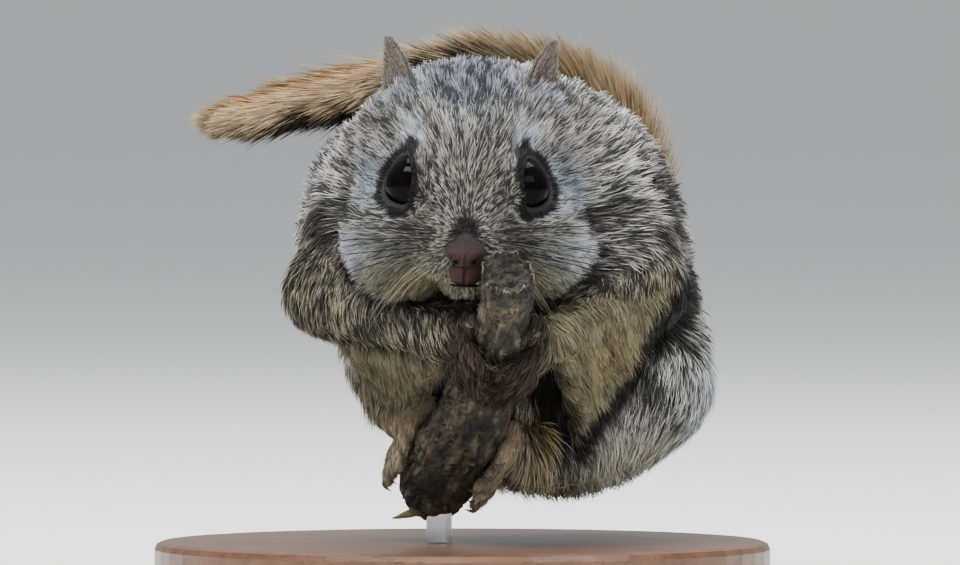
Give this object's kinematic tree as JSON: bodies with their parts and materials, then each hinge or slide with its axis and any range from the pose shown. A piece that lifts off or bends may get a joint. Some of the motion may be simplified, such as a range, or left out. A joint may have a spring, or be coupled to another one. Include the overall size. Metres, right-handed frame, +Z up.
{
  "type": "flying squirrel model",
  "caption": "Still life-size model of a small flying squirrel crouched behind a short branch stub that it clasps, on an oval display base with a short rod",
  "frame": {"origin": "centre of the underside of the oval stand, on the surface that the part stands on", "axes": "+Z up; the animal faces -Y; +X is the animal's left, along the stand's long side"},
  "size_m": [0.096, 0.09, 0.0874],
  "materials": {
    "back_fur": "short dense grey-brown fur, pale-tipped hairs",
    "belly_fur": "soft cream-white fur with buff shading",
    "tail_fur": "long flat orange-buff fur, dark brown below",
    "ear_skin": "thin matt skin with short down",
    "nose_skin": "moist pinkish brown skin, fine pebbled",
    "paw_skin": "short dark hair over pinkish skin, pale horn claws",
    "foot_fur": "short whitish hair over pinkish toes",
    "eye_gloss": "polished near-black eye",
    "bark": "rough weathered bark and broken pale wood",
    "walnut": "oiled dark walnut",
    "steel": "fine brushed steel"
  },
  "bodies": {
    "root": {"head": "back_fur", "nose": "nose_skin", "eye_left": "eye_gloss", "eye_right": "eye_gloss", "ear_left": "ear_skin", "ear_right": "ear_skin", "neck": "back_fur", "torso": "back_fur", "arm_left": "back_fur", "arm_right": "back_fur", "hand_left": "paw_skin", "hand_right": "paw_skin", "leg_left": "back_fur", "leg_right": "back_fur", "foot_left": "foot_fur", "foot_right": "foot_fur", "patagium_left": "belly_fur", "patagium_right": "belly_fur", "tail_base": "tail_fur", "tail_middle": "tail_fur", "tail_upper": "tail_fur", "tail_tip": "tail_fur", "perch_stub": "bark", "stand_base": "walnut", "stand_rod": "steel"}
  },
  "joints": []
}
